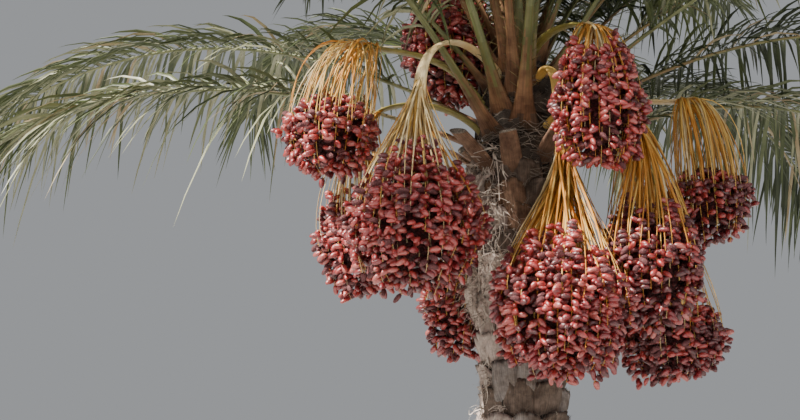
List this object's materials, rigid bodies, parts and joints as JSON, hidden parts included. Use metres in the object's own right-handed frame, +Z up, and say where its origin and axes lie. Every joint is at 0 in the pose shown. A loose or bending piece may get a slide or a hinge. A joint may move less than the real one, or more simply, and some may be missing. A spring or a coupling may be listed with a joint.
{
  "type": "date palm tree",
  "caption": "Date palm with a trunk clad in cut leaf bases, a round crown of arching feather fronds and bunches of ripe red dates hanging on long stalks.",
  "frame": {"origin": "middle of the flat cut under the trunk, at ground level", "axes": "+Z up along the trunk; -Y toward the side the fruit is picked from, where the lowest fronds are cut away"},
  "size_m": [6.1547, 5.8748, 6.1672],
  "materials": {
    "bark": "rough weathered leaf bases and fibre",
    "frond": "satin grey-green leaf",
    "dates": "glossy wrinkled red skin on yellow stalks"
  },
  "bodies": {
    "root": {"bunch_01": "dates", "bunch_02": "dates", "bunch_03": "dates", "bunch_04": "dates", "bunch_05": "dates", "bunch_06": "dates", "bunch_07": "dates", "bunch_08": "dates", "bunch_09": "dates", "bunch_10": "dates", "bunch_11": "dates", "bunch_12": "dates", "bunch_13": "dates", "frond_00": "frond", "frond_01": "frond", "frond_04": "frond", "frond_07": "frond", "frond_08": "frond", "frond_12": "frond", "frond_13": "frond", "frond_14": "frond", "frond_16": "frond", "frond_18": "frond", "frond_19": "frond", "frond_20": "frond", "frond_26": "frond", "frond_28": "frond", "frond_29": "frond", "frond_30": "frond", "frond_31": "frond", "frond_32": "frond", "frond_33": "frond", "frond_34": "frond", "frond_37": "frond", "frond_38": "frond", "frond_39": "frond", "frond_41": "frond", "frond_42": "frond", "frond_44": "frond", "frond_45": "frond", "frond_46": "frond", "frond_47": "frond", "frond_49": "frond", "frond_50": "frond", "frond_51": "frond", "frond_52": "frond", "frond_53": "frond", "frond_54": "frond", "frond_55": "frond", "frond_57": "frond", "frond_58": "frond", "frond_59": "frond", "frond_60": "frond", "frond_61": "frond", "frond_62": "frond", "frond_63": "frond", "spear_leaves": "frond", "trunk": "bark"}
  },
  "joints": []
}
